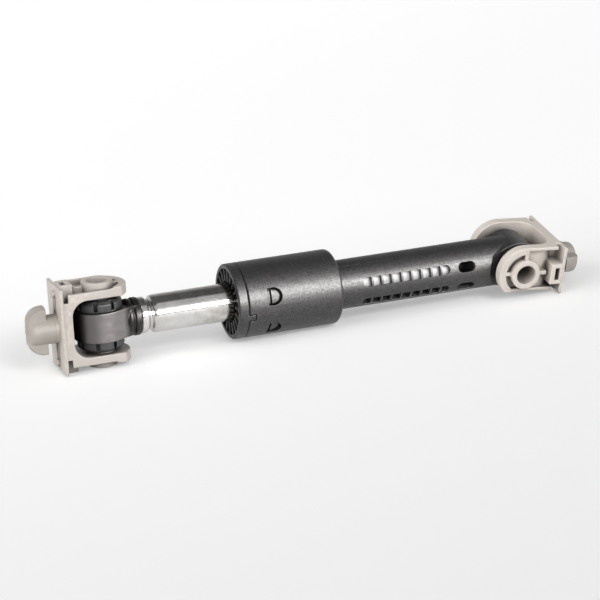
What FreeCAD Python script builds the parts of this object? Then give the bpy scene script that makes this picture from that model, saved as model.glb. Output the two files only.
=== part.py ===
import FreeCAD, Part
import math
import os

# Washing machine friction damper, in millimetres.
# X runs along the damper from the rod end to the housing end, Z is up.
# The origin is the centre of the housing pivot. The rod clevis turns about Z; the housing is drawn with its
# pivot on Y and then rolled a little about X, as the twisted damper comes to rest on a table.

# Lengths along the damper
pivot_distance = 232.0        # rod pivot to housing pivot, as it lies
cup_end_from_pivot = 104.0    # closed end of the cup, ahead of the housing pivot
cup_length = 52.8             # moulded cup, without its cap
cap_flange = 5.5              # visible thickness of the cap
tube_end_from_pivot = 20.6    # outer end of the steel tube, from the rod pivot
guide_length = 3.4            # guide ring beyond the tube's inner end
guide_plug = 8.0
compression_room = 20.0       # free length left behind the guide ring

# How it lies
housing_roll = 10.2           # degrees, housing against rod about the damper's axis
clevis_droop = 5.9            # degrees, the housing clevis hangs down on its pivot
face_turn = 3.8               # degrees, windows and latches against the housing's pivot axis

# Round sections
tube_d = 20.0
tube_wall = 1.0
lining_thick = 2.9
carrier_wall = 2.0
guide_rib_height = 2.6        # room between the lining carrier and the cup's wall
cup_wall = 2.4
cup_floor = 3.0
barrel_gap = 0.6              # room round the tube in the barrel
barrel_wall = 2.6
cup_end_radius = 2.4          # rounding of the cup's closed end
seam_chamfer = 0.6            # edges of cup and cap where they meet

# Ladder windows in the barrel
window_count = 9
window_pitch = 5.67
window_rib = 1.2
window_chord = 5.2
window_start_from_cup = 13.9  # first window, from the cup's closed end
row_angle = 26.8              # rows above and below the pivot axis direction
oval_gap = 4.8                # solid barrel between the ladder and the oval hole
oval_length = 9.8
oval_chord = 5.6

# Snap windows and latch notches in the cup
snap_from_mouth = 10.8
snap_length = 7.7
snap_chord = 9.4
snap_angle = 29.0
notch_length = 3.8
notch_width = 3.9
guide_rib_count = 8
guide_rib_thick = 1.6

# End cap
cap_rib_count = 20
cap_rib_thick = 1.2
cap_rim = 2.4                 # width of the cap's outer rim
cap_rib_recess = 0.4          # ribs lie this far below the rim
cap_sleeve_wall = 1.7
cap_sleeve_recess = 2.2
cap_web = 1.6
cap_pocket_depth = 9.4
finger_thick = 1.7
finger_width = 8.6
hook_height = 1.7
hook_inset = 1.2              # the hook is this much smaller than its window
hook_strip = 0.9              # upright edge of the hook
hook_groove = 0.9             # groove between that edge and the ramp
hook_low = 1.2                # height of the ramp's low end
key_gap = 0.5                 # open line round the latch key

# Lining carrier and its buffers
carrier_lip = 2.0
carrier_play = 4.0            # free travel of the carrier to each buffer
stop_thick = 4.0

# Rod eye
eye_r = 13.8
eye_half = 7.8
neck_r = 9.8
neck_start = 12.6             # from the rod pivot
neck_round = 2.0
neck_groove = 0.7             # between the neck and the collar
collar_thick = 3.6
collar_edge = 0.5
plug_length = 17.0
plug_lead = 1.0
roll_from_end = 5.0           # centre of the rolled groove, from the tube's end
roll_width = 3.4
roll_depth = 2.0
roll_runout = 1.8
tube_lip = 0.4                # the tube's end ring is this much smaller in radius
tube_edge = 0.4

# Housing eye
lug_r = 13.4
lug_half = 10.0
cheek_r = 16.8                # round recess beside the lug
barrel_end_wall = 5.0         # solid between the barrel's bore and the eye

# Bushes in both eyes
bush_wall = 1.4
sleeve_wall = 0.75
collar_r = 12.2
tooth_count = 8
tooth_gap = 1.9
tooth_depth = 2.2
tooth_floor = 0.8
collar_chamfer = 1.8
collar_room = 1.6             # between the collar and the ear

# Clevis, the same for both ends
ear_gap = 30.4
ear_web = 2.0
ear_r = 14.9
ear_flat = 10.8               # flat side of the ears, from the pivot
face_half = 22.5              # boss face, from the middle
rim_half = 20.4               # rim face, from the middle
low_rim_half = 19.4           # the rim on the flat side is lower
low_rim_reach = 4.0           # the low rim ends here, past the pivot
low_rim_ramp = 4.0            # and rises to the full rim over this length
rim_end = 4.0                 # rim thickness round the ear's end
rim_side = 1.8
boss_r = 8.2
pivot_bore_d = 10.8
trunnion_r = 7.4
trunnion_length = 4.5
trunnion_edge = 0.6
ear_rib = 2.2
plate_out = 22.6              # outer face of the plate, from the pivot
plate_thick = 1.7
plate_half = 22.8
plate_lap = 1.0               # the plate stands past the ears' flat side
u_floor = 16.5                # bottom of the U, from the pivot
u_corner = 8.0
slot_width = 2.6
slot_floor = 15.2             # slot bottom, from the middle
core_floor = 12.5             # deepest part of the moulding's core, from the middle
loop_length = 6.6
loop_width = 11.6
loop_wall = 1.5               # between the plate and the loop's window
loop_window = 2.4
loop_window_width = 7.0
loop_floor = 13.4
loop_window_floor = 2.0
loop_proud = 0.6
rib_from_loop = 1.2           # the rib behind the boss stops short of the loop
pip_from_middle = 18.4
pip_r = 2.1
pip_height = 1.6
plate_line = 0.4              # pair of fine raised lines on the plate
plate_line_height = 0.25
plate_line_place = 1.8
wall_gap = 6.2                # room for the machine's wall under the T-head
stem_r = 7.6
head_r = 12.8
head_thick = 8.8
head_length = 10.0
head_round = 8.4              # rounding of the head's outer end
head_side_round = 3.4         # rounding of the bar's outer edges
bulge_short = 0.6             # the stem ends this far inside the head's end
bulge_round = 3.0

# Clearances, in radius
run_fit = 0.05
slide_fit = 0.2
press_fit = 0.02
end_play = 0.4

origin = FreeCAD.Vector(0, 0, 0)
axis_x = FreeCAD.Vector(1, 0, 0)
axis_y = FreeCAD.Vector(0, 1, 0)
axis_z = FreeCAD.Vector(0, 0, 1)

# Places that follow from the sizes
tube_r = tube_d / 2
bore_r = tube_r - tube_wall
lining_in_r = tube_r + run_fit
lining_out_r = lining_in_r + lining_thick
carrier_in_r = lining_out_r + run_fit
carrier_out_r = carrier_in_r + carrier_wall
cup_in_r = carrier_out_r + guide_rib_height
cup_r = cup_in_r + cup_wall
barrel_in_r = tube_r + barrel_gap
barrel_r = barrel_in_r + barrel_wall
rod_pivot_x = -pivot_distance
cup_end_x = -cup_end_from_pivot
mouth_x = cup_end_x - cup_length
cap_face_x = mouth_x - cap_flange
cup_floor_x = cup_end_x - cup_floor
tube_start_x = rod_pivot_x + tube_end_from_pivot
trunnion_bore_r = trunnion_r + run_fit
sleeve_r = trunnion_bore_r + sleeve_wall
bush_r = sleeve_r + press_fit + bush_wall
eye_bore_r = bush_r + press_fit
barrel_floor_x = -(eye_bore_r + barrel_end_wall)
tube_stop_x = barrel_floor_x - compression_room - guide_length
cap_web_back_x = cap_face_x + cap_pocket_depth + cap_web
stop_front_x = cap_web_back_x + stop_thick
carrier_start_x = stop_front_x + carrier_play
stop_rear_x = cup_floor_x - stop_thick
carrier_stop_x = stop_rear_x - carrier_play
finger_out_r = cup_in_r - slide_fit
finger_in_r = finger_out_r - finger_thick
ear_in = ear_gap / 2
plate_in = plate_out - plate_thick


def cylinder(radius, start, stop, axis):
    return Part.makeCylinder(radius, stop - start, axis * start, axis)


def tube(outer, inner, start, stop, axis):
    return cylinder(outer, start, stop, axis).cut(cylinder(inner, start - 1, stop + 1, axis))


def block(x0, x1, y0, y1, z0, z1):
    return Part.makeBox(x1 - x0, y1 - y0, z1 - z0, FreeCAD.Vector(x0, y0, z0))


def turned(points):
    """A solid turned about X from (x, radius) points."""
    corners = [FreeCAD.Vector(x, 0, r) for x, r in points]
    face = Part.Face(Part.makePolygon(corners + corners[:1]))
    return face.revolve(origin, axis_x, 360)


def turned_copy(shape, axis, angle):
    copy = shape.copy()
    copy.rotate(origin, axis, angle)
    return copy


def around(shape, axis, angles):
    return [turned_copy(shape, axis, angle) for angle in angles]


def moved(shape, x):
    copy = shape.copy()
    copy.translate(FreeCAD.Vector(x, 0, 0))
    return copy


def rim_edges(shape, x, radius):
    return [edge for edge in shape.Edges
            if isinstance(edge.Curve, Part.Circle)
            and abs(edge.Curve.Radius - radius) < 1e-3
            and abs(edge.Curve.Center.x - x) < 1e-3]


def end_edges(shape, z):
    return [edge for edge in shape.Edges
            if isinstance(edge.Curve, Part.Circle) and abs(edge.Curve.Center.z - z) < 1e-6]


def stadium(x0, x1, width, depth0, depth1):
    """A slot with round ends, cut from the side that faces -Y."""
    r = width / 2
    slot = block(x0 + r, x1 - r, -depth1, -depth0, -r, r)
    for x in (x0 + r, x1 - r):
        end = Part.makeCylinder(r, depth1 - depth0, FreeCAD.Vector(x, -depth1, 0), axis_y)
        slot = slot.fuse(end)
    return slot


def d_shape(x0, length, width, depth0, depth1):
    """A D with its flat side at x0 and its round side toward +X, facing -Y."""
    half = width / 2
    straight = length * 0.42
    a = FreeCAD.Vector(x0, -depth1, -half)
    b = FreeCAD.Vector(x0, -depth1, half)
    c = FreeCAD.Vector(x0 + straight, -depth1, half)
    d = FreeCAD.Vector(x0 + length, -depth1, 0)
    e = FreeCAD.Vector(x0 + straight, -depth1, -half)
    edges = [Part.makeLine(a, b), Part.makeLine(b, c), Part.Arc(c, d, e).toShape(), Part.makeLine(e, a)]
    return Part.Face(Part.Wire(edges)).extrude(axis_y * (depth1 - depth0))


# Rows stand at equal angles above and below both ends of the line on which the latches lie.
def both_sides(angle):
    return [face_turn + turn for turn in (angle, -angle, 180 + angle, 180 - angle)]


def make_housing():
    cup = cylinder(cup_r, mouth_x, cup_end_x, axis_x)
    cup = cup.makeFillet(cup_end_radius, rim_edges(cup, cup_end_x, cup_r))
    cup = cup.makeChamfer(seam_chamfer, rim_edges(cup, mouth_x, cup_r))
    barrel = cylinder(barrel_r, mouth_x, 0, axis_x)
    cheek = cylinder(cheek_r, lug_half, cup_r, axis_y)
    for side in (cheek, turned_copy(cheek, axis_x, 180)):
        barrel = barrel.cut(side)
    lug = cylinder(lug_r, -lug_half, lug_half, axis_y)
    # Straight shoulders run from the barrel's recess up to the round of the lug
    foot_z = math.sqrt(barrel_r ** 2 - lug_half ** 2)
    foot_x = -math.sqrt(cheek_r ** 2 - foot_z ** 2)
    touch = math.atan2(foot_z, foot_x) - math.acos(lug_r / cheek_r)
    touch_x = lug_r * math.cos(touch)
    touch_z = lug_r * math.sin(touch)
    corners = [FreeCAD.Vector(foot_x, -lug_half, -foot_z), FreeCAD.Vector(foot_x, -lug_half, foot_z),
               FreeCAD.Vector(touch_x, -lug_half, touch_z), FreeCAD.Vector(touch_x, -lug_half, -touch_z)]
    shoulder = Part.Face(Part.makePolygon(corners + corners[:1])).extrude(axis_y * (2 * lug_half))
    body = cup.fuse([barrel, lug, shoulder]).removeSplitter()
    hollow = cylinder(cup_in_r, mouth_x - 1, cup_floor_x, axis_x)
    bore = cylinder(barrel_in_r, mouth_x, barrel_floor_x, axis_x)
    body = body.cut(hollow.fuse(bore))
    body = body.cut(cylinder(eye_bore_r, -cup_r, cup_r, axis_y))
    # Ribs inside the cup keep the lining carrier on the axis
    rib_start_x = mouth_x + snap_from_mouth + snap_length + 2
    rib_foot_r = cup_in_r + cup_wall / 2
    rib = block(rib_start_x, cup_floor_x + cup_floor / 2, -rib_foot_r, -carrier_out_r - slide_fit,
                -guide_rib_thick / 2, guide_rib_thick / 2)
    ribs = around(rib, axis_x, [360 / guide_rib_count * i for i in range(guide_rib_count)])
    body = body.fuse(ribs).removeSplitter()
    # Ladder of windows and one oval hole in each row
    first_x = cup_end_x + window_start_from_cup
    last_x = first_x + window_count * window_pitch - window_rib
    ladder = stadium(first_x, last_x, window_chord, barrel_in_r - 2, barrel_r + 2)
    for i in range(1, window_count):
        rib_x = first_x + i * window_pitch
        ladder = ladder.cut(block(rib_x - window_rib, rib_x, -cup_r, 0, -window_chord, window_chord))
    oval_x = last_x + oval_gap
    oval = stadium(oval_x, oval_x + oval_length, oval_chord, barrel_in_r - 2, barrel_r + 2)
    openings = around(ladder, axis_x, both_sides(row_angle)) + around(oval, axis_x, both_sides(row_angle))
    # Snap windows and latch notches for the cap
    snap = d_shape(mouth_x + snap_from_mouth, snap_length, snap_chord, cup_in_r - 2, cup_r + 2)
    openings += around(snap, axis_x, both_sides(snap_angle))
    notch_half = notch_width / 2
    notch = block(mouth_x - 1, mouth_x + notch_length, -cup_r - 1, -cup_in_r + 1, -notch_half, notch_half)
    openings += around(notch, axis_x, [face_turn, face_turn + 180])
    for opening in openings:
        body = body.cut(opening)
    return body


def make_end_cap():
    flange = tube(cup_r, cup_r - cap_rim, cap_face_x, mouth_x, axis_x)
    for edge_x in (cap_face_x, mouth_x):
        flange = flange.makeChamfer(seam_chamfer, rim_edges(flange, edge_x, cup_r))
    skirt = tube(finger_out_r, finger_in_r, mouth_x - cap_flange / 2, cap_web_back_x, axis_x)
    seat = tube(cup_r - cap_rim + press_fit, finger_in_r, mouth_x - cap_flange / 2, mouth_x, axis_x)
    guide_r = tube_r + slide_fit
    sleeve_out_r = guide_r + cap_sleeve_wall
    web = tube(finger_out_r, guide_r, cap_web_back_x - cap_web, cap_web_back_x, axis_x)
    sleeve = tube(sleeve_out_r, guide_r, cap_face_x + cap_sleeve_recess, stop_front_x - end_play, axis_x)
    rib_in_r = guide_r + cap_sleeve_wall / 2
    rib = block(cap_face_x + cap_rib_recess, cap_web_back_x - cap_web / 2, -cup_r + cap_rim / 2, -guide_r,
                -cap_rib_thick / 2, cap_rib_thick / 2)
    ribs = around(rib, axis_x, [360 / cap_rib_count * (i + 0.5) for i in range(cap_rib_count)])
    inner_limit = tube(cup_r - cap_rim / 2, rib_in_r, cap_face_x, cap_web_back_x, axis_x)
    skirt_limit = cylinder(finger_out_r, mouth_x, cap_web_back_x, axis_x)
    front_limit = cylinder(cup_r - cap_rim / 2, cap_face_x, mouth_x, axis_x)
    ribs = [one.common(inner_limit).common(front_limit.fuse(skirt_limit)) for one in ribs]
    # Snap fingers reach back from the web and hook into the cup's windows
    snap_x = mouth_x + snap_from_mouth
    finger_stop_x = snap_x + snap_length + 1
    finger = tube(finger_out_r, finger_in_r, cap_web_back_x - cap_web, finger_stop_x, axis_x)
    finger = finger.common(block(cap_face_x, 0, -cup_r, 0, -finger_width / 2, finger_width / 2))
    hook_x = snap_x + slide_fit
    hook_r = finger_out_r + hook_height
    hook = d_shape(hook_x, snap_length - hook_inset - slide_fit, snap_chord - 2 * hook_inset,
                   finger_in_r + finger_thick / 2, hook_r)
    strip_x = hook_x + hook_strip
    ramp_x = strip_x + hook_groove
    outline = turned([(hook_x, finger_in_r), (hook_x, hook_r), (strip_x, hook_r), (strip_x, finger_out_r),
                      (ramp_x, finger_out_r), (ramp_x, hook_r), (snap_x + snap_length, finger_out_r + hook_low),
                      (snap_x + snap_length, finger_in_r)])
    finger = finger.fuse(hook.common(outline))
    fingers = around(finger, axis_x, both_sides(snap_angle))
    # Two keys on the flange stop the cap from turning
    key = block(mouth_x - cap_flange / 2, mouth_x + notch_length - key_gap, -cup_r, -cup_in_r,
                -notch_width / 2 + key_gap, notch_width / 2 - key_gap)
    key = key.common(cylinder(cup_r, cap_face_x, 0, axis_x))
    keys = around(key, axis_x, [face_turn, face_turn + 180])
    return flange.fuse([seat, skirt, web, sleeve] + ribs + fingers + keys).removeSplitter()


# Ring, rolled groove and shoulder at the tube's end, as (x from the end, distance inward from its outside)
def rolled_end(offset):
    half = roll_width / 2
    flank = half * 0.4
    shallow = roll_depth * 0.9
    points = [(0, tube_lip + tube_edge), (tube_edge, tube_lip), (roll_from_end - half, tube_lip),
              (roll_from_end - flank, shallow), (roll_from_end, roll_depth), (roll_from_end + flank, shallow),
              (roll_from_end + half, tube_lip), (roll_from_end + half + roll_runout, 0)]
    return [(x, inward + offset) for x, inward in points]


def make_plunger_tube():
    outside = [(tube_start_x + x, tube_r - inward) for x, inward in rolled_end(0)]
    inside = [(tube_start_x + x, tube_r - inward) for x, inward in rolled_end(tube_wall)]
    outside += [(tube_stop_x - tube_edge, tube_r), (tube_stop_x, tube_r - tube_edge)]
    inside += [(tube_stop_x, bore_r)]
    return turned(outside + inside[::-1])


def make_rod_eye():
    plug = [(tube_start_x + x, tube_r - inward) for x, inward in rolled_end(tube_wall + press_fit)]
    plug_stop_x = tube_start_x + plug_length
    plug += [(plug_stop_x - plug_lead, bore_r - press_fit), (plug_stop_x, bore_r - plug_lead),
             (plug_stop_x, 0)]
    body = turned([(tube_start_x - collar_edge, 0), (tube_start_x - collar_edge, plug[0][1])] + plug)
    collar_start_x = tube_start_x - collar_thick
    neck_x = rod_pivot_x + neck_start
    waist_r = neck_r - neck_groove
    collar = turned([(neck_x, 0), (neck_x, neck_r - neck_round),
                     (neck_x + neck_round * 0.3, neck_r - neck_round * 0.4),
                     (neck_x + neck_round, neck_r), (collar_start_x - 2 * neck_groove, neck_r),
                     (collar_start_x - neck_groove, waist_r), (collar_start_x, waist_r),
                     (collar_start_x + collar_edge, tube_r), (tube_start_x - collar_edge, tube_r),
                     (tube_start_x, tube_r - collar_edge), (tube_start_x, 0)])
    # Flat band from the eye to the collar, drawn in so that its corners end inside the neck
    eye = moved(cylinder(eye_r, -eye_half, eye_half, axis_z), rod_pivot_x)
    reach = tube_end_from_pivot - collar_thick / 2
    end_y = math.sqrt(neck_r ** 2 - eye_half ** 2)
    touch = math.atan2(end_y, reach) + math.acos(eye_r / math.hypot(end_y, reach))
    shoulder_x = rod_pivot_x + eye_r * math.cos(touch)
    shoulder_y = eye_r * math.sin(touch)
    end_x = rod_pivot_x + reach
    corners = [FreeCAD.Vector(rod_pivot_x, 0, -eye_half), FreeCAD.Vector(shoulder_x, -shoulder_y, -eye_half),
               FreeCAD.Vector(end_x, -end_y, -eye_half), FreeCAD.Vector(end_x, end_y, -eye_half),
               FreeCAD.Vector(shoulder_x, shoulder_y, -eye_half)]
    band = Part.Face(Part.makePolygon(corners + corners[:1])).extrude(axis_z * (2 * eye_half))
    body = body.fuse([collar, eye, band]).removeSplitter()
    return body.cut(moved(cylinder(eye_bore_r, -cup_r, cup_r, axis_z), rod_pivot_x))


def make_bush(half_width):
    """Rubber bush on Z with a toothed collar at each end of an eye of the given half width."""
    collar_start = half_width + press_fit
    collar_stop = ear_in - collar_room
    bush = tube(bush_r, sleeve_r + press_fit, -collar_stop, collar_stop, axis_z)
    for side in (0, 180):
        collar = cylinder(collar_r, collar_start, collar_stop, axis_z)
        collar = collar.makeChamfer(collar_chamfer, end_edges(collar, collar_stop))
        collar = collar.cut(cylinder(sleeve_r + press_fit, 0, 2 * collar_stop, axis_z))
        gap = block(collar_r - tooth_depth, collar_r + 1, -tooth_gap / 2, tooth_gap / 2,
                    collar_start + tooth_floor, collar_stop + 1)
        for one in around(gap, axis_z, [360 / tooth_count * (i + 0.5) for i in range(tooth_count)]):
            collar = collar.cut(one)
        bush = bush.fuse(turned_copy(collar, axis_x, side))
    return bush.removeSplitter()


def make_bush_sleeve():
    stop = ear_in - 2 * end_play
    return tube(sleeve_r, trunnion_bore_r, -stop, stop, axis_z)


def make_carrier_half(side):
    length = carrier_stop_x - carrier_start_x
    lip_r = tube_r + 3 * slide_fit
    shell = tube(carrier_out_r, lip_r, carrier_start_x, carrier_stop_x, axis_x)
    middle = (length - carrier_lip) / 2
    seat_length = middle - carrier_lip
    for seat_x in (carrier_start_x + carrier_lip, carrier_start_x + middle + carrier_lip):
        shell = shell.cut(tube(carrier_in_r, lip_r - 1, seat_x, seat_x + seat_length, axis_x))
    half = block(cap_face_x, 0, -cup_r, cup_r, 0, cup_r)
    return shell.common(turned_copy(half, axis_x, side))


def make_lining(place):
    length = carrier_stop_x - carrier_start_x
    middle = (length - carrier_lip) / 2
    seat_length = middle - carrier_lip
    start = carrier_start_x + carrier_lip + place * middle + end_play / 2
    return tube(lining_out_r, lining_in_r, start, start + seat_length - end_play, axis_x)


def make_stop(start, outer, inner):
    return tube(outer, inner, start, start + stop_thick, axis_x)


def make_tube_guide():
    flange = cylinder(barrel_in_r - 2 * run_fit, tube_stop_x, tube_stop_x + guide_length, axis_x)
    plug = cylinder(bore_r - press_fit, tube_stop_x - guide_plug, tube_stop_x, axis_x)
    hole = cylinder(bore_r - 2, tube_stop_x - guide_plug, tube_stop_x + guide_length, axis_x)
    return flange.fuse(plug).removeSplitter().cut(hole)


def u_prism(half_gap, floor, corner):
    """The space between the ears, open toward +X, with round inner corners."""
    reach = ear_r + 5
    width = ear_r + 5
    shape = block(-floor, reach, -width, width, -half_gap, half_gap)
    edges = [edge for edge in shape.Edges
             if abs(edge.Vertexes[0].X + floor) < 1e-6 and abs(edge.Vertexes[-1].X + floor) < 1e-6
             and abs(edge.Vertexes[0].Z - edge.Vertexes[-1].Z) < 1e-6]
    return shape.makeFillet(corner, edges)


def make_clevis():
    """Clevis with its pivot on Z and its plate toward -X; the ears' flat side faces -Y."""
    body = cylinder(ear_r, -face_half, face_half, axis_z)
    body = body.fuse(block(-plate_in, 0, -ear_flat, ear_r, -face_half, face_half))
    body = body.common(block(-plate_in, ear_r, -ear_flat, ear_r, -face_half, face_half))
    body = body.cut(u_prism(ear_in, u_floor, u_corner))
    # Open pockets outside each ear leave a thin web, a rim, the pivot boss and four ribs
    slot_x = plate_in - slot_width
    far = 2 * face_half
    ring = tube(ear_r - rim_end, boss_r, core_floor, far, axis_z)
    ring = ring.common(block(0, ear_r, -ear_flat + rim_side, ear_r, core_floor, far))
    bay = block(-plate_in, 0, -ear_flat + rim_side, ear_r - rim_side, core_floor, far)
    bay = bay.cut(cylinder(boss_r, 0, 2 * far, axis_z))
    pocket = ring.fuse(bay)
    loop_x = plate_in - loop_length
    pocket = pocket.cut(block(0, ear_r, -ear_rib / 2, ear_rib / 2, 0, far))
    pocket = pocket.cut(block(-ear_rib / 2, ear_rib / 2, 0, ear_r, 0, far))
    pocket = pocket.cut(block(-loop_x + rib_from_loop, 0, -ear_rib / 2, ear_rib / 2, 0, far))
    pocket = pocket.cut(u_prism(ear_in + ear_web, u_floor + ear_web, u_corner + ear_web))
    above_rim = block(-plate_in, ear_r, -ear_flat - 1, ear_r + 1, rim_half, far)
    above_rim = above_rim.cut(cylinder(boss_r, 0, 2 * far, axis_z))
    ramp_top_x = low_rim_reach + low_rim_ramp
    corners = [FreeCAD.Vector(-plate_in, -ear_flat - 1, low_rim_half),
               FreeCAD.Vector(low_rim_reach, -ear_flat - 1, low_rim_half),
               FreeCAD.Vector(ramp_top_x, -ear_flat - 1, rim_half),
               FreeCAD.Vector(-plate_in, -ear_flat - 1, rim_half)]
    low_rim = Part.Face(Part.makePolygon(corners + corners[:1])).extrude(axis_y * (rim_side + 1))
    slot = block(-plate_in, -slot_x, -ear_flat - 1, ear_r + 1, slot_floor, far)
    for cutter in (pocket, above_rim, low_rim, slot):
        body = body.cut(cutter)
        body = body.cut(cutter.mirror(origin, axis_z))
    # Plate, and a box-shaped loop inside each end of it
    plate = block(-plate_out, -plate_in, -ear_flat - plate_lap, ear_r, -plate_half, plate_half)
    loop = block(-plate_in, -loop_x, -loop_width / 2, loop_width / 2, loop_floor, plate_half + loop_proud)
    window_x = loop_wall - plate_in
    window_half = loop_window_width / 2
    loop = loop.cut(block(window_x, window_x + loop_window, -window_half, window_half,
                          loop_floor + loop_window_floor, far))
    pip_place = FreeCAD.Vector(-plate_out - pip_height, 0, pip_from_middle)
    pip = Part.makeCylinder(pip_r, pip_height, pip_place, axis_x)
    line = block(-plate_out - plate_line_height, -plate_out, -plate_line_place - plate_line / 2,
                 -plate_line_place + plate_line / 2, 0, pip_from_middle)
    lines = line.fuse(line.mirror(origin, axis_y))
    additions = [plate]
    for addition in (loop, pip, lines):
        additions += [addition, addition.mirror(origin, axis_z)]
    # Trunnions reach in from the ears into the bush sleeve
    trunnion = cylinder(trunnion_r, ear_in - trunnion_length, ear_in + ear_web / 2, axis_z)
    trunnion = trunnion.makeChamfer(trunnion_edge, end_edges(trunnion, ear_in - trunnion_length))
    additions += [trunnion, trunnion.mirror(origin, axis_z)]
    # Quarter-turn head: a round-ended bar on a round stem, which runs on into the head
    under_x = -(plate_out + wall_gap)
    tip_x = under_x - head_length
    dome = cylinder(head_r, tip_x, under_x, axis_x)
    dome = dome.makeFillet(head_round, rim_edges(dome, tip_x, head_r))
    bar = block(tip_x, under_x, -head_thick / 2, head_thick / 2, -head_r - 1, head_r + 1)
    sides = [edge for edge in bar.Edges
             if abs(edge.Vertexes[0].X - tip_x) < 1e-6 and abs(edge.Vertexes[-1].X - tip_x) < 1e-6
             and abs(edge.Vertexes[0].Y - edge.Vertexes[-1].Y) < 1e-6]
    bar = bar.makeFillet(head_side_round, sides)
    bulge = cylinder(stem_r, tip_x + bulge_short, under_x, axis_x)
    bulge = bulge.makeFillet(bulge_round, rim_edges(bulge, tip_x + bulge_short, stem_r))
    head = dome.common(bar).fuse(dome.common(bulge))
    stem = cylinder(stem_r, under_x - 0.5, -plate_out + 0.5, axis_x)
    additions += [head, stem]
    body = body.fuse(additions).removeSplitter()
    return body.cut(cylinder(pivot_bore_d / 2, -far, far, axis_z))


clevis = make_clevis()
rod_bush = make_bush(eye_half)
housing_bush = make_bush(lug_half)
bush_sleeve = make_bush_sleeve()
half_turn = FreeCAD.Vector(0, 1, 1)
drooping_clevis = turned_copy(turned_copy(clevis, half_turn, 180), axis_y, clevis_droop)

nodes = {
    "housing": turned_copy(make_housing(), axis_x, housing_roll),
    "end_cap": turned_copy(make_end_cap(), axis_x, housing_roll),
    "housing_bush": turned_copy(housing_bush, axis_x, 90 + housing_roll),
    "housing_bush_sleeve": turned_copy(bush_sleeve, axis_x, 90 + housing_roll),
    "stop_front": make_stop(cap_web_back_x, carrier_out_r, tube_r + cap_sleeve_wall + 2 * slide_fit),
    "stop_rear": make_stop(stop_rear_x, carrier_out_r, barrel_in_r + slide_fit),
    "carrier_upper": make_carrier_half(0),
    "carrier_lower": make_carrier_half(180),
    "lining_front": make_lining(0),
    "lining_rear": make_lining(1),
    "plunger_tube": make_plunger_tube(),
    "tube_guide": make_tube_guide(),
    "rod_eye": make_rod_eye(),
    "rod_bush": moved(rod_bush, rod_pivot_x),
    "rod_bush_sleeve": moved(bush_sleeve, rod_pivot_x),
    "rod_clevis": moved(clevis, rod_pivot_x),
    "housing_clevis": turned_copy(drooping_clevis, axis_x, housing_roll),
}

os.makedirs("parts", exist_ok=True)
for name, shape in nodes.items():
    shape.exportStep("parts/" + name + ".step")
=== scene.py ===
import math
import bmesh
import bpy
from mathutils import Matrix, Vector


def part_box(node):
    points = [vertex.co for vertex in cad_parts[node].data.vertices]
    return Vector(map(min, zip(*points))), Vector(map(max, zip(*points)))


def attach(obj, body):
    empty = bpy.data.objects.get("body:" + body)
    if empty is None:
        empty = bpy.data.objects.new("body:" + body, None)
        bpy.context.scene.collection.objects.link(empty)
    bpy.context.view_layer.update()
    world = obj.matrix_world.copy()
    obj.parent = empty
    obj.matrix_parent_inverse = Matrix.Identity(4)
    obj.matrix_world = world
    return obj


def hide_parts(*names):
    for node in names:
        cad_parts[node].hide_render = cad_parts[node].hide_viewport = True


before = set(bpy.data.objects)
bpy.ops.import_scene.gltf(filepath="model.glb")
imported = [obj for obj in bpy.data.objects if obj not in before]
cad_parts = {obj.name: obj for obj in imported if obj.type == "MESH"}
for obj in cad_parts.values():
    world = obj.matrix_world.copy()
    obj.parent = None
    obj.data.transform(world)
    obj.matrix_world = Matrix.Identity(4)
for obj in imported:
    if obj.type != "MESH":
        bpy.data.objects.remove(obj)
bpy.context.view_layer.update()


# The housing: one injection moulding in glass-filled nylon, a wide cup with a slim barrel behind it.
# Its skin carries the mould's fine spark-eroded grain; its edges are painted paler, for wear and as a
# painted highlight, and its hollows carry painted shade.
# The wider rounding of its rims is the mould's own.
def moulded_copy(name, node, body, radius, steps=2, sharp=28):
    """A piece that follows its solid, with every edge over so many degrees sharp rounded to the radius."""
    same_spot = 0.000002
    flat, crease = math.radians(0.4), math.radians(42)
    form = bmesh.new()
    form.from_mesh(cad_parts[node].data)
    bmesh.ops.remove_doubles(form, verts=form.verts, dist=same_spot)
    bmesh.ops.dissolve_limit(form, angle_limit=flat, use_dissolve_boundaries=False,
                             verts=form.verts, edges=form.edges)
    edges = [e for e in form.edges if e.is_manifold and e.calc_face_angle() > math.radians(sharp)]
    bmesh.ops.bevel(form, geom=edges, offset=radius, offset_type="OFFSET", segments=steps, profile=0.5,
                    affect="EDGES", material=-1)
    mesh = bpy.data.meshes.new(name)
    form.to_mesh(mesh)
    form.free()
    mesh.shade_smooth()
    mesh.set_sharp_from_angle(angle=crease)
    piece = bpy.data.objects.new(name, mesh)
    bpy.context.scene.collection.objects.link(piece)
    even = piece.modifiers.new("even_shading", "WEIGHTED_NORMAL")
    even.keep_sharp = True
    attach(piece, body)
    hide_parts(node)
    return piece


def start_finish(name):
    """A new material, its tree, its shader and the piece's own coordinates."""
    material = bpy.data.materials.new(name)
    material.use_nodes = True
    tree = material.node_tree
    place = tree.nodes.new("ShaderNodeTexCoord").outputs["Object"]
    return material, tree, tree.nodes["Principled BSDF"], place


def speckle(tree, place, scale, detail=3.0, roughness=0.5, stretch=None):
    """Cloudy noise, with its spots drawn out where stretch is given."""
    if stretch:
        drawn = tree.nodes.new("ShaderNodeMapping")
        drawn.inputs["Scale"].default_value = stretch
        tree.links.new(place, drawn.inputs["Vector"])
        place = drawn.outputs["Vector"]
    noise = tree.nodes.new("ShaderNodeTexNoise")
    noise.inputs["Scale"].default_value = scale
    noise.inputs["Detail"].default_value = detail
    noise.inputs["Roughness"].default_value = roughness
    tree.links.new(place, noise.inputs["Vector"])
    return noise.outputs["Fac"]


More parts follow.
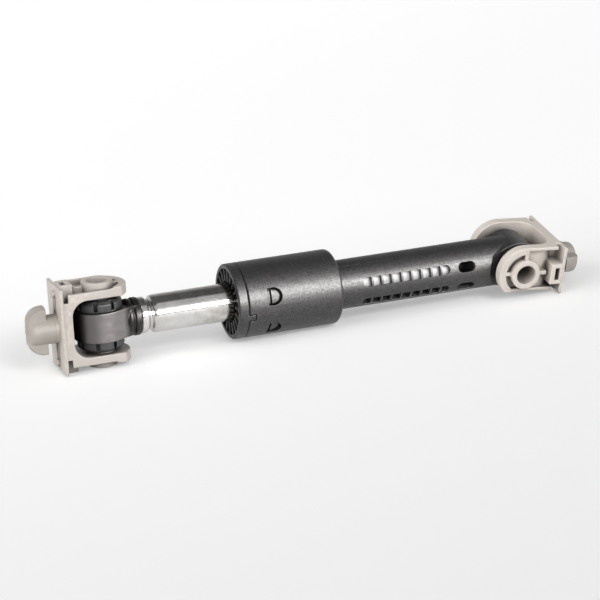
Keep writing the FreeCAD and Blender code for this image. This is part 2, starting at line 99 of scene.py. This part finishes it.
def pits(tree, place, scale):
    """Small round cells, as spark erosion leaves them."""
    cells = tree.nodes.new("ShaderNodeTexVoronoi")
    cells.inputs["Scale"].default_value = scale
    tree.links.new(place, cells.inputs["Vector"])
    return cells.outputs["Distance"]


def spread(tree, value, span, into=(0.0, 1.0)):
    """The value's span laid evenly over another range, and held at its ends beyond that."""
    node = tree.nodes.new("ShaderNodeMapRange")
    for socket, number in zip(("From Min", "From Max", "To Min", "To Max"), (*span, *into)):
        node.inputs[socket].default_value = number
    tree.links.new(value, node.inputs["Value"])
    return node.outputs["Result"]


def combine(tree, operation, a, b):
    """Two values multiplied or added."""
    node = tree.nodes.new("ShaderNodeMath")
    node.operation = operation
    tree.links.new(a, node.inputs[0])
    tree.links.new(b, node.inputs[1])
    return node.outputs["Value"]


def toned(colour, factor):
    """The same colour, darker or lighter."""
    return tuple(factor * c for c in colour)


def shades(tree, value, *stops):
    """A run of colours along the value."""
    ramp = tree.nodes.new("ShaderNodeValToRGB")
    elements = ramp.color_ramp.elements
    while len(elements) < len(stops):
        elements.new(0.5)
    for element, (position, colour) in zip(elements, stops):
        element.position = position
        element.color = (*colour, 1)
    tree.links.new(value, ramp.inputs["Fac"])
    return ramp.outputs["Color"]


def over(tree, amount, under, colour):
    """A colour laid over another by the given amount; colour is an output or three numbers."""
    mix = tree.nodes.new("ShaderNodeMix")
    mix.data_type = "RGBA"
    tree.links.new(amount, mix.inputs["Factor"])
    tree.links.new(under, mix.inputs["A"])
    if isinstance(colour, tuple):
        mix.inputs["B"].default_value = (*colour, 1)
    else:
        tree.links.new(colour, mix.inputs["B"])
    return mix.outputs["Result"]


def sharpness(tree):
    """How sharply the surface turns: over a half on outer edges, under it in hollows."""
    return tree.nodes.new("ShaderNodeNewGeometry").outputs["Pointiness"]


def worn_edges_and_highlight(tree, place, span):
    """Where the surface turns sharply outwards, broken up by a coarse noise: worn edges, also used as a
    painted edge highlight.
    """
    edge = spread(tree, sharpness(tree), span)
    patches = spread(tree, speckle(tree, place, scale=420, detail=4), (0.38, 0.66))
    return combine(tree, "MULTIPLY", edge, patches)


def shut_in(tree, reach, closed_at, open_at, most=1.0):
    """How far a spot is closed in by walls within reach, from nothing up to the most."""
    walls = tree.nodes.new("ShaderNodeAmbientOcclusion")
    walls.samples = 8
    walls.inputs["Distance"].default_value = reach
    return spread(tree, walls.outputs["AO"], (open_at, closed_at), into=(0.0, most))


def relief(tree, shader, *layers):
    """Bumps laid one over another, each a height, a strength and a depth in metres."""
    normal = None
    for height, strength, depth in layers:
        bump = tree.nodes.new("ShaderNodeBump")
        bump.inputs["Strength"].default_value = strength
        bump.inputs["Distance"].default_value = depth
        tree.links.new(height, bump.inputs["Height"])
        if normal:
            tree.links.new(normal, bump.inputs["Normal"])
        normal = bump.outputs["Normal"]
    tree.links.new(normal, shader.inputs["Normal"])


def satin_black(name, tint):
    """Black nylon with a leathery grain, scuffs along the stroke, a few pale specks of dust, paler edges
    for wear and painted highlight, and painted shade in its cavities.
    """
    worn_and_highlit_grey, dusty, cavity_shade = (0.24, 0.233, 0.229), (0.2, 0.195, 0.19), (0.001, 0.001, 0.001)
    material, tree, shader, place = start_finish(name)
    cloud = speckle(tree, place, scale=240, detail=5, roughness=0.62)
    colour = shades(tree, cloud, (0.3, toned(tint, 0.72)), (0.52, tint), (0.74, toned(tint, 1.35)))
    scuffs = speckle(tree, place, scale=1.0, detail=4, roughness=0.6, stretch=(60, 900, 900))
    scuffs = spread(tree, scuffs, (0.62, 0.74), into=(0.0, 0.5))
    colour = over(tree, scuffs, colour, toned(tint, 2.3))
    # Paler edges, for wear and as a painted highlight along them.
    colour = over(tree, worn_edges_and_highlight(tree, place, (0.53, 0.61)), colour, worn_and_highlit_grey)
    dust = speckle(tree, place, scale=1500, detail=2, roughness=0.4)
    dust = spread(tree, dust, (0.735, 0.78), into=(0.0, 0.4))
    colour = over(tree, dust, colour, dusty)
    # Painted shade: the colour goes black and the gloss fades where walls close the surface in.
    closed_in_shade = shut_in(tree, reach=0.003, closed_at=0.2, open_at=0.75)
    colour = over(tree, closed_in_shade, colour, cavity_shade)
    tree.links.new(colour, shader.inputs["Base Color"])
    dullness = speckle(tree, place, scale=700, detail=4, roughness=0.6)
    dullness = spread(tree, dullness, (0.3, 0.7), into=(0.39, 0.49))
    tree.links.new(dullness, shader.inputs["Roughness"])
    sheen = speckle(tree, place, scale=1000, detail=4, roughness=0.7)
    sheen = spread(tree, sheen, (0.34, 0.66), into=(0.38, 0.92))
    open_air = spread(tree, closed_in_shade, (0.0, 1.0), into=(1.0, 0.05))
    tree.links.new(combine(tree, "MULTIPLY", sheen, open_air), shader.inputs["Specular IOR Level"])
    shader.inputs["Specular Tint"].default_value = (1.0, 0.97, 0.965, 1)
    leather = speckle(tree, place, scale=90, detail=2)
    grain = speckle(tree, place, scale=1700)
    relief(tree, shader, (leather, 0.1, 0.0002), (pits(tree, place, scale=1300), 0.45, 0.00008),
           (grain, 0.5, 0.00008))
    return material


housing = moulded_copy("housing_moulding", "housing", "housing", radius=0.0002)
housing.data.materials.append(satin_black("satin_black_nylon", tint=(0.019, 0.0184, 0.0181)))


# The end cap: the same black nylon, snapped into the cup's mouth. Its open face is a ring of pockets
# between thin radial ribs, and its four snap hooks fill the D-shaped windows in the cup.
cap = moulded_copy("end_cap_moulding", "end_cap", "housing", radius=0.0002)
cap.data.materials.append(satin_black("cap_black_nylon", tint=(0.0175, 0.0171, 0.0168)))


# The friction unit inside the cup: two rings of greased foam held in a split carrier,
# which floats between two rubber buffer rings. The guide on the tube's inner end is the carrier's plastic.
def plain_finish(name, dark, light, roughness, grain, depth):
    """A plain moulding or rubber: cloudy colour, uneven gloss and a fine grain, with painted shade that
    darkens its colour and dims its gloss in cavities.
    """
    most_shut = 0.8
    material, tree, shader, place = start_finish(name)
    cloud = speckle(tree, place, scale=grain * 0.2, detail=4, roughness=0.6)
    colour = shades(tree, cloud, (0.3, dark), (0.72, light))
    # Painted shade: the colour darkens and the gloss dims where walls close the surface in.
    closed_in_shade = shut_in(tree, reach=0.006, closed_at=0.2, open_at=0.65, most=most_shut)
    colour = over(tree, closed_in_shade, colour, toned(dark, 0.1))
    tree.links.new(colour, shader.inputs["Base Color"])
    sheen = spread(tree, closed_in_shade, (0.0, most_shut), into=(0.5, 0.1))
    tree.links.new(sheen, shader.inputs["Specular IOR Level"])
    dullness = spread(tree, speckle(tree, place, scale=grain * 0.5), (0.3, 0.7), into=roughness)
    tree.links.new(dullness, shader.inputs["Roughness"])
    relief(tree, shader, (speckle(tree, place, scale=grain), 0.4, depth))
    return material


def dress(nodes, material):
    """The solids that stay as they are get their finish."""
    for node in nodes:
        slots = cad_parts[node].data.materials
        slots.clear()
        slots.append(material)


foam = plain_finish("greased_foam", dark=(0.16, 0.14, 0.11), light=(0.34, 0.31, 0.25),
                    roughness=(0.45, 0.85), grain=2200, depth=0.0003)
dress(["lining_front", "lining_rear"], foam)
carrier = plain_finish("carrier_plastic", dark=(0.068, 0.068, 0.07), light=(0.115, 0.115, 0.119),
                       roughness=(0.4, 0.55), grain=1800, depth=0.00006)
dress(["carrier_upper", "carrier_lower", "tube_guide"], carrier)
buffer = plain_finish("buffer_rubber", dark=(0.024, 0.024, 0.024), light=(0.048, 0.047, 0.046),
                      roughness=(0.6, 0.8), grain=1500, depth=0.0001)
dress(["stop_front", "stop_rear"], buffer)


# The plunger: a drawn steel tube, bright zinc on the outside, with a groove rolled into it to hold the eye.
# The linings have drawn fine lines along it, and towards the cap it is painted brownish in patches.
# Further in, behind the barrel's windows, the grease lies thick and pale.
def coordinate(tree, place, axis):
    """One coordinate of a place or a direction."""
    parts = tree.nodes.new("ShaderNodeSeparateXYZ")
    tree.links.new(place, parts.inputs["Vector"])
    return parts.outputs[axis]


zinc_dark, zinc, zinc_light = (0.52, 0.505, 0.49), (0.62, 0.61, 0.60), (0.70, 0.695, 0.69)
cap_end_brown, scratch_grey, grease_white = (0.36, 0.325, 0.295), (0.42, 0.41, 0.4), (0.69, 0.68, 0.675)
film_x, grease_x = (-0.197, -0.168), (-0.116, -0.108)
tube = moulded_copy("plunger_steel", "plunger_tube", "rod", radius=0.0003, steps=3, sharp=11)
steel, tree, shader, place = start_finish("bright_zinc_steel")
lines = speckle(tree, place, scale=1.0, detail=5, roughness=0.65, stretch=(45, 2600, 2600))
cloud = speckle(tree, place, scale=130, detail=5, roughness=0.6)
colour = shades(tree, cloud, (0.3, zinc_dark), (0.55, zinc), (0.8, zinc_light))
along = coordinate(tree, place, "X")
near_cap = spread(tree, along, film_x, into=(0.0, 0.75))
patches = spread(tree, speckle(tree, place, scale=210, detail=6, roughness=0.7), (0.42, 0.62))
colour = over(tree, combine(tree, "MULTIPLY", near_cap, patches), colour, cap_end_brown)
scratches = spread(tree, lines, (0.6, 0.72), into=(0.0, 0.6))
colour = over(tree, scratches, colour, scratch_grey)
greased = spread(tree, along, grease_x)
colour = over(tree, greased, colour, grease_white)
tree.links.new(colour, shader.inputs["Base Color"])
tree.links.new(spread(tree, greased, (0.0, 1.0), into=(1.0, 0.1)), shader.inputs["Metallic"])
drawn = spread(tree, lines, (0.3, 0.7), into=(0.1, 0.21))
smeared = spread(tree, greased, (0.0, 1.0), into=(0.0, 0.4))
tree.links.new(combine(tree, "ADD", drawn, smeared), shader.inputs["Roughness"])
relief(tree, shader, (lines, 0.1, 0.00003), (speckle(tree, place, scale=900), 0.06, 0.00003))
tube.data.materials.append(steel)


# The rod eye: glossy black nylon, plugged into the tube and held by its rolled groove.
# The flat band round the eye shows faint flow lines and worn edges, painted paler also as a highlight, and
# the neck behind it shines less. Its gloss is painted out where the clevis closes round it, as painted
# shade.
nylon_dark, nylon_light, nylon_worn_and_highlit = (0.0055, 0.0052, 0.005), (0.012, 0.0113, 0.0108), (0.075, 0.073, 0.07)
neck_x = (-0.2215, -0.2185)
rod_eye = moulded_copy("rod_eye_moulding", "rod_eye", "rod", radius=0.00035, steps=3)
gloss_black, tree, shader, place = start_finish("gloss_black_nylon")
flow = speckle(tree, place, scale=1.0, detail=3, roughness=0.5, stretch=(90, 90, 700))
colour = shades(tree, flow, (0.3, nylon_dark), (0.7, nylon_light))
colour = over(tree, worn_edges_and_highlight(tree, place, (0.53, 0.6)), colour, nylon_worn_and_highlit)
tree.links.new(colour, shader.inputs["Base Color"])
dullness = spread(tree, speckle(tree, place, scale=300), (0.3, 0.7), into=(0.36, 0.46))
tree.links.new(dullness, shader.inputs["Roughness"])
band = spread(tree, coordinate(tree, place, "X"), neck_x, into=(1.0, 0.25))
# Painted shade: the reflection fades where the clevis's walls close round the eye.
closed_in_shade = shut_in(tree, reach=0.016, closed_at=0.36, open_at=0.9)
open_air = spread(tree, closed_in_shade, (0.0, 1.0), into=(1.8, 0.0))
tree.links.new(combine(tree, "MULTIPLY", band, open_air), shader.inputs["Specular IOR Level"])
shader.inputs["Specular Tint"].default_value = (1.0, 0.93, 0.92, 1)
relief(tree, shader, (flow, 0.05, 0.0001))
rod_eye.data.materials.append(gloss_black)


# The bushes in both eyes: moulded rubber with a castellated collar on each side,
# lined with a plain hard sleeve for the clevis's trunnions.
rubber = plain_finish("bush_rubber", dark=(0.0175, 0.0172, 0.0168), light=(0.036, 0.0355, 0.035),
                      roughness=(0.36, 0.52), grain=1300, depth=0.00008)
for end in ("rod", "housing"):
    bush = moulded_copy(end + "_bush_rubber", end + "_bush", end, radius=0.0003)
    bush.data.materials.append(rubber)
sleeve = plain_finish("sleeve_plastic", dark=(0.11, 0.108, 0.104), light=(0.17, 0.167, 0.162),
                      roughness=(0.3, 0.45), grain=1600, depth=0.00005)
dress(["rod_bush_sleeve", "housing_bush_sleeve"], sleeve)


# The two clevises: the same warm grey moulding at both ends, ribbed and cored out round the pivot boss.
# The quarter-turn head and its stem, outside the plate, are greyer and a little duller.
# The clevis at the rod end is painted a shade darker and the one at the housing end lighter: painted shade
# and light, for the brighter light on the housing end.
moulding_grey, grime_brown, hollow_shade_brown = (0.64, 0.58, 0.526), (0.52, 0.465, 0.41), (0.36, 0.32, 0.28)
head_dark, head_light = (0.355, 0.324, 0.29), (0.41, 0.378, 0.34)
crevice_shade, cavity_shade = (0.1, 0.085, 0.07), (0.055, 0.046, 0.041)
for end, stem_x, painted_light_tone in (("rod", -0.2562, 0.83), ("housing", 0.0248, 1.04)):
    clevis = moulded_copy(end + "_clevis_moulding", end + "_clevis", end + "_clevis",
                          radius=0.0004, steps=3)
    grey, tree, shader, place = start_finish(end + "_clevis_grey")
    # The same grey, painted darker at the rod end and lighter at the housing end as painted shade and
    # light.
    plain = toned(moulding_grey, painted_light_tone)
    cloud = speckle(tree, place, scale=110, detail=5, roughness=0.6)
    colour = shades(tree, cloud, (0.28, toned(plain, 0.965)), (0.75, toned(plain, 1.035)))
    grime = speckle(tree, place, scale=55, detail=6, roughness=0.72)
    grime = spread(tree, grime, (0.56, 0.75), into=(0.0, 0.18))
    colour = over(tree, grime, colour, grime_brown)
    # Painted shade in the hollows and creases, where the surface turns inwards.
    hollow_shade = spread(tree, sharpness(tree), (0.47, 0.40), into=(0.0, 0.4))
    colour = over(tree, hollow_shade, colour, hollow_shade_brown)
    # Paler edges, for wear and as a painted highlight along them.
    colour = over(tree, worn_edges_and_highlight(tree, place, (0.56, 0.7)), colour, toned(plain, 1.2))
    fade = math.copysign(0.0003, stem_x)
    outside = spread(tree, coordinate(tree, place, "X"), (stem_x - fade, stem_x + fade))
    head_colour = shades(tree, cloud, (0.3, head_dark), (0.72, head_light))
    colour = over(tree, outside, colour, head_colour)
    # Painted shade in narrow gaps and deep pockets, where walls close the surface in.
    narrow_shade = shut_in(tree, reach=0.0035, closed_at=0.12, open_at=0.75, most=0.88)
    colour = over(tree, narrow_shade, colour, crevice_shade)
    deep_shade = shut_in(tree, reach=0.016, closed_at=0.12, open_at=0.55, most=0.9)
    colour = over(tree, deep_shade, colour, cavity_shade)
    tree.links.new(colour, shader.inputs["Base Color"])
    dullness = speckle(tree, place, scale=600, detail=4, roughness=0.6)
    dullness = spread(tree, dullness, (0.3, 0.7), into=(0.36, 0.5))
    duller_head = spread(tree, outside, (0.0, 1.0), into=(1.0, 1.15))
    tree.links.new(combine(tree, "MULTIPLY", dullness, duller_head), shader.inputs["Roughness"])
    sheen = spread(tree, outside, (0.0, 1.0), into=(0.5, 0.3))
    tree.links.new(sheen, shader.inputs["Specular IOR Level"])
    shader.inputs["Subsurface Weight"].default_value = 0.08
    shader.inputs["Subsurface Radius"].default_value = (0.0012, 0.0010, 0.0008)
    waves = speckle(tree, place, scale=70, detail=2)
    grain = speckle(tree, place, scale=1500)
    relief(tree, shader, (waves, 0.15, 0.0002), (grain, 0.22, 0.00005))
    clevis.data.materials.append(grey)


# The pale table it lies on. The lower ends of both clevises touch it, so it is a little out of line
# with the damper. Its paper shows its own white to the eye and in reflections, and keeps the shadows.
rod_foot_x, housing_foot_x = -0.250, 0.021
half_width, gap = 5.0, 0.0001
rod_foot = Vector((rod_foot_x, 0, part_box("rod_clevis")[0][2]))
housing_foot = Vector((housing_foot_x, 0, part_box("housing_clevis")[0][2]))
along_table = housing_foot - rod_foot
table_form = bmesh.new()
bmesh.ops.create_grid(table_form, x_segments=1, y_segments=1, size=half_width)
bmesh.ops.rotate(table_form, verts=table_form.verts, cent=(0, 0, 0),
                 matrix=Matrix.Rotation(-math.atan2(along_table.z, along_table.x), 3, "Y"))
bmesh.ops.translate(table_form, verts=table_form.verts, vec=rod_foot - Vector((0, 0, gap)))
table_mesh = bpy.data.meshes.new("table")
table_form.to_mesh(table_mesh)
table_form.free()
table = bpy.data.objects.new("table", table_mesh)
bpy.context.scene.collection.objects.link(table)
paper, tree, shader, place = start_finish("white_paper")
shader.inputs["Base Color"].default_value = (0.76, 0.76, 0.76, 1)
shader.inputs["Roughness"].default_value = 0.8
shader.inputs["Specular IOR Level"].default_value = 0.2
shader.inputs["Emission Color"].default_value = (1, 1, 1, 1)
ray = tree.nodes.new("ShaderNodeLightPath")
seen = combine(tree, "ADD", ray.outputs["Is Camera Ray"], ray.outputs["Is Glossy Ray"])
seen = combine(tree, "ADD", seen, ray.outputs["Is Transmission Ray"])
across = coordinate(tree, place, "Y")
near_white = spread(tree, across, (-0.4, 0.2), into=(0.07, 0.42))
far_white = spread(tree, across, (0.2, 1.0), into=(0.0, 0.2))
white = combine(tree, "MULTIPLY", seen, combine(tree, "ADD", near_white, far_white))
tree.links.new(white, shader.inputs["Emission Strength"])
table_mesh.materials.append(paper)


# Studio light: a large soft box on the left, a small one in front, a broad one overhead and an even room.
# Two cards in front give the pale lines along the round pieces, and a white backdrop behind gives their
# upper edges; these are seen in reflections only.
middle = Vector((-0.12, 0, 0))


def soft_box(name, direction, distance, width, height, power):
    """A rectangular lamp that faces the middle of the damper from the given direction."""
    lamp = bpy.data.lights.new(name, "AREA")
    lamp.shape = "RECTANGLE"
    lamp.size = width
    lamp.size_y = height
    lamp.energy = power
    lamp_object = bpy.data.objects.new(name, lamp)
    bpy.context.scene.collection.objects.link(lamp_object)
    away = Vector(direction).normalized()
    lamp_object.location = middle + distance * away
    lamp_object.rotation_euler = away.to_track_quat("Z", "Y").to_euler()
    return lamp_object


key = soft_box("key_box", (-0.87, -0.29, 0.4), distance=3.0, width=3.2, height=2.4, power=78)
front = soft_box("front_box", (0.12, -0.83, 0.55), distance=2.0, width=0.9, height=0.6, power=19)
top = soft_box("top_box", (0.0, -0.25, 0.97), distance=3.0, width=4.0, height=2.5, power=12)
for lamp in (key, front, top):
    lamp.visible_glossy = False
low_card = soft_box("card", (0.444, -0.835, 0.326), distance=3.0, width=4.2, height=0.85, power=390)
upper_card = soft_box("upper_card", (0.3, -0.56, 0.77), distance=3.0, width=4.2, height=2.0, power=13)
for card in (low_card, upper_card):
    card.visible_diffuse = False
room = bpy.data.worlds.new("room")
room.use_nodes = True
tree = room.node_tree
background = tree.nodes["Background"]
background.inputs["Color"].default_value = (1, 1, 1, 1)
reflected = tree.nodes.new("ShaderNodeLightPath").outputs["Is Glossy Ray"]
even_light = spread(tree, reflected, (0.0, 1.0), into=(0.19, 0.12))
direction = tree.nodes.new("ShaderNodeTexCoord").outputs["Generated"]
behind = spread(tree, coordinate(tree, direction, "Y"), (0.0, 0.3))
backdrop = spread(tree, coordinate(tree, direction, "Z"), (0.0, 0.8), into=(0.8, 0.0))
backdrop = combine(tree, "MULTIPLY", backdrop, behind)
backdrop = combine(tree, "MULTIPLY", backdrop, reflected)
tree.links.new(combine(tree, "ADD", even_light, backdrop), background.inputs["Strength"])
bpy.context.scene.world = room
bpy.context.scene.view_settings.view_transform = "Standard"


# The camera stands off the rod end's near side with a long lens, and looks a little down on the damper.
azimuth, elevation, roll = (math.radians(a) for a in (-19.657, 16.885, -2.918))
target, distance = Vector((-0.121886, 0, -0.005198)), 1.302978
sensor_mm, picture_pixels, focal_pixels = 36, 600, 2459.118
level = Vector((math.cos(azimuth), math.sin(azimuth), 0))
back = Vector((math.sin(azimuth) * math.cos(elevation), -math.cos(azimuth) * math.cos(elevation),
               math.sin(elevation)))
upright = back.cross(level)
right = math.cos(roll) * level + math.sin(roll) * upright
up = math.cos(roll) * upright - math.sin(roll) * level
stand = target + distance * back
lens = bpy.data.cameras.new("camera")
lens.sensor_width = sensor_mm
lens.lens = sensor_mm * focal_pixels / picture_pixels
camera = bpy.data.objects.new("camera", lens)
bpy.context.scene.collection.objects.link(camera)
camera.matrix_world = Matrix(((right.x, up.x, back.x, stand.x), (right.y, up.y, back.y, stand.y),
                              (right.z, up.z, back.z, stand.z), (0, 0, 0, 1)))
bpy.context.scene.camera = camera
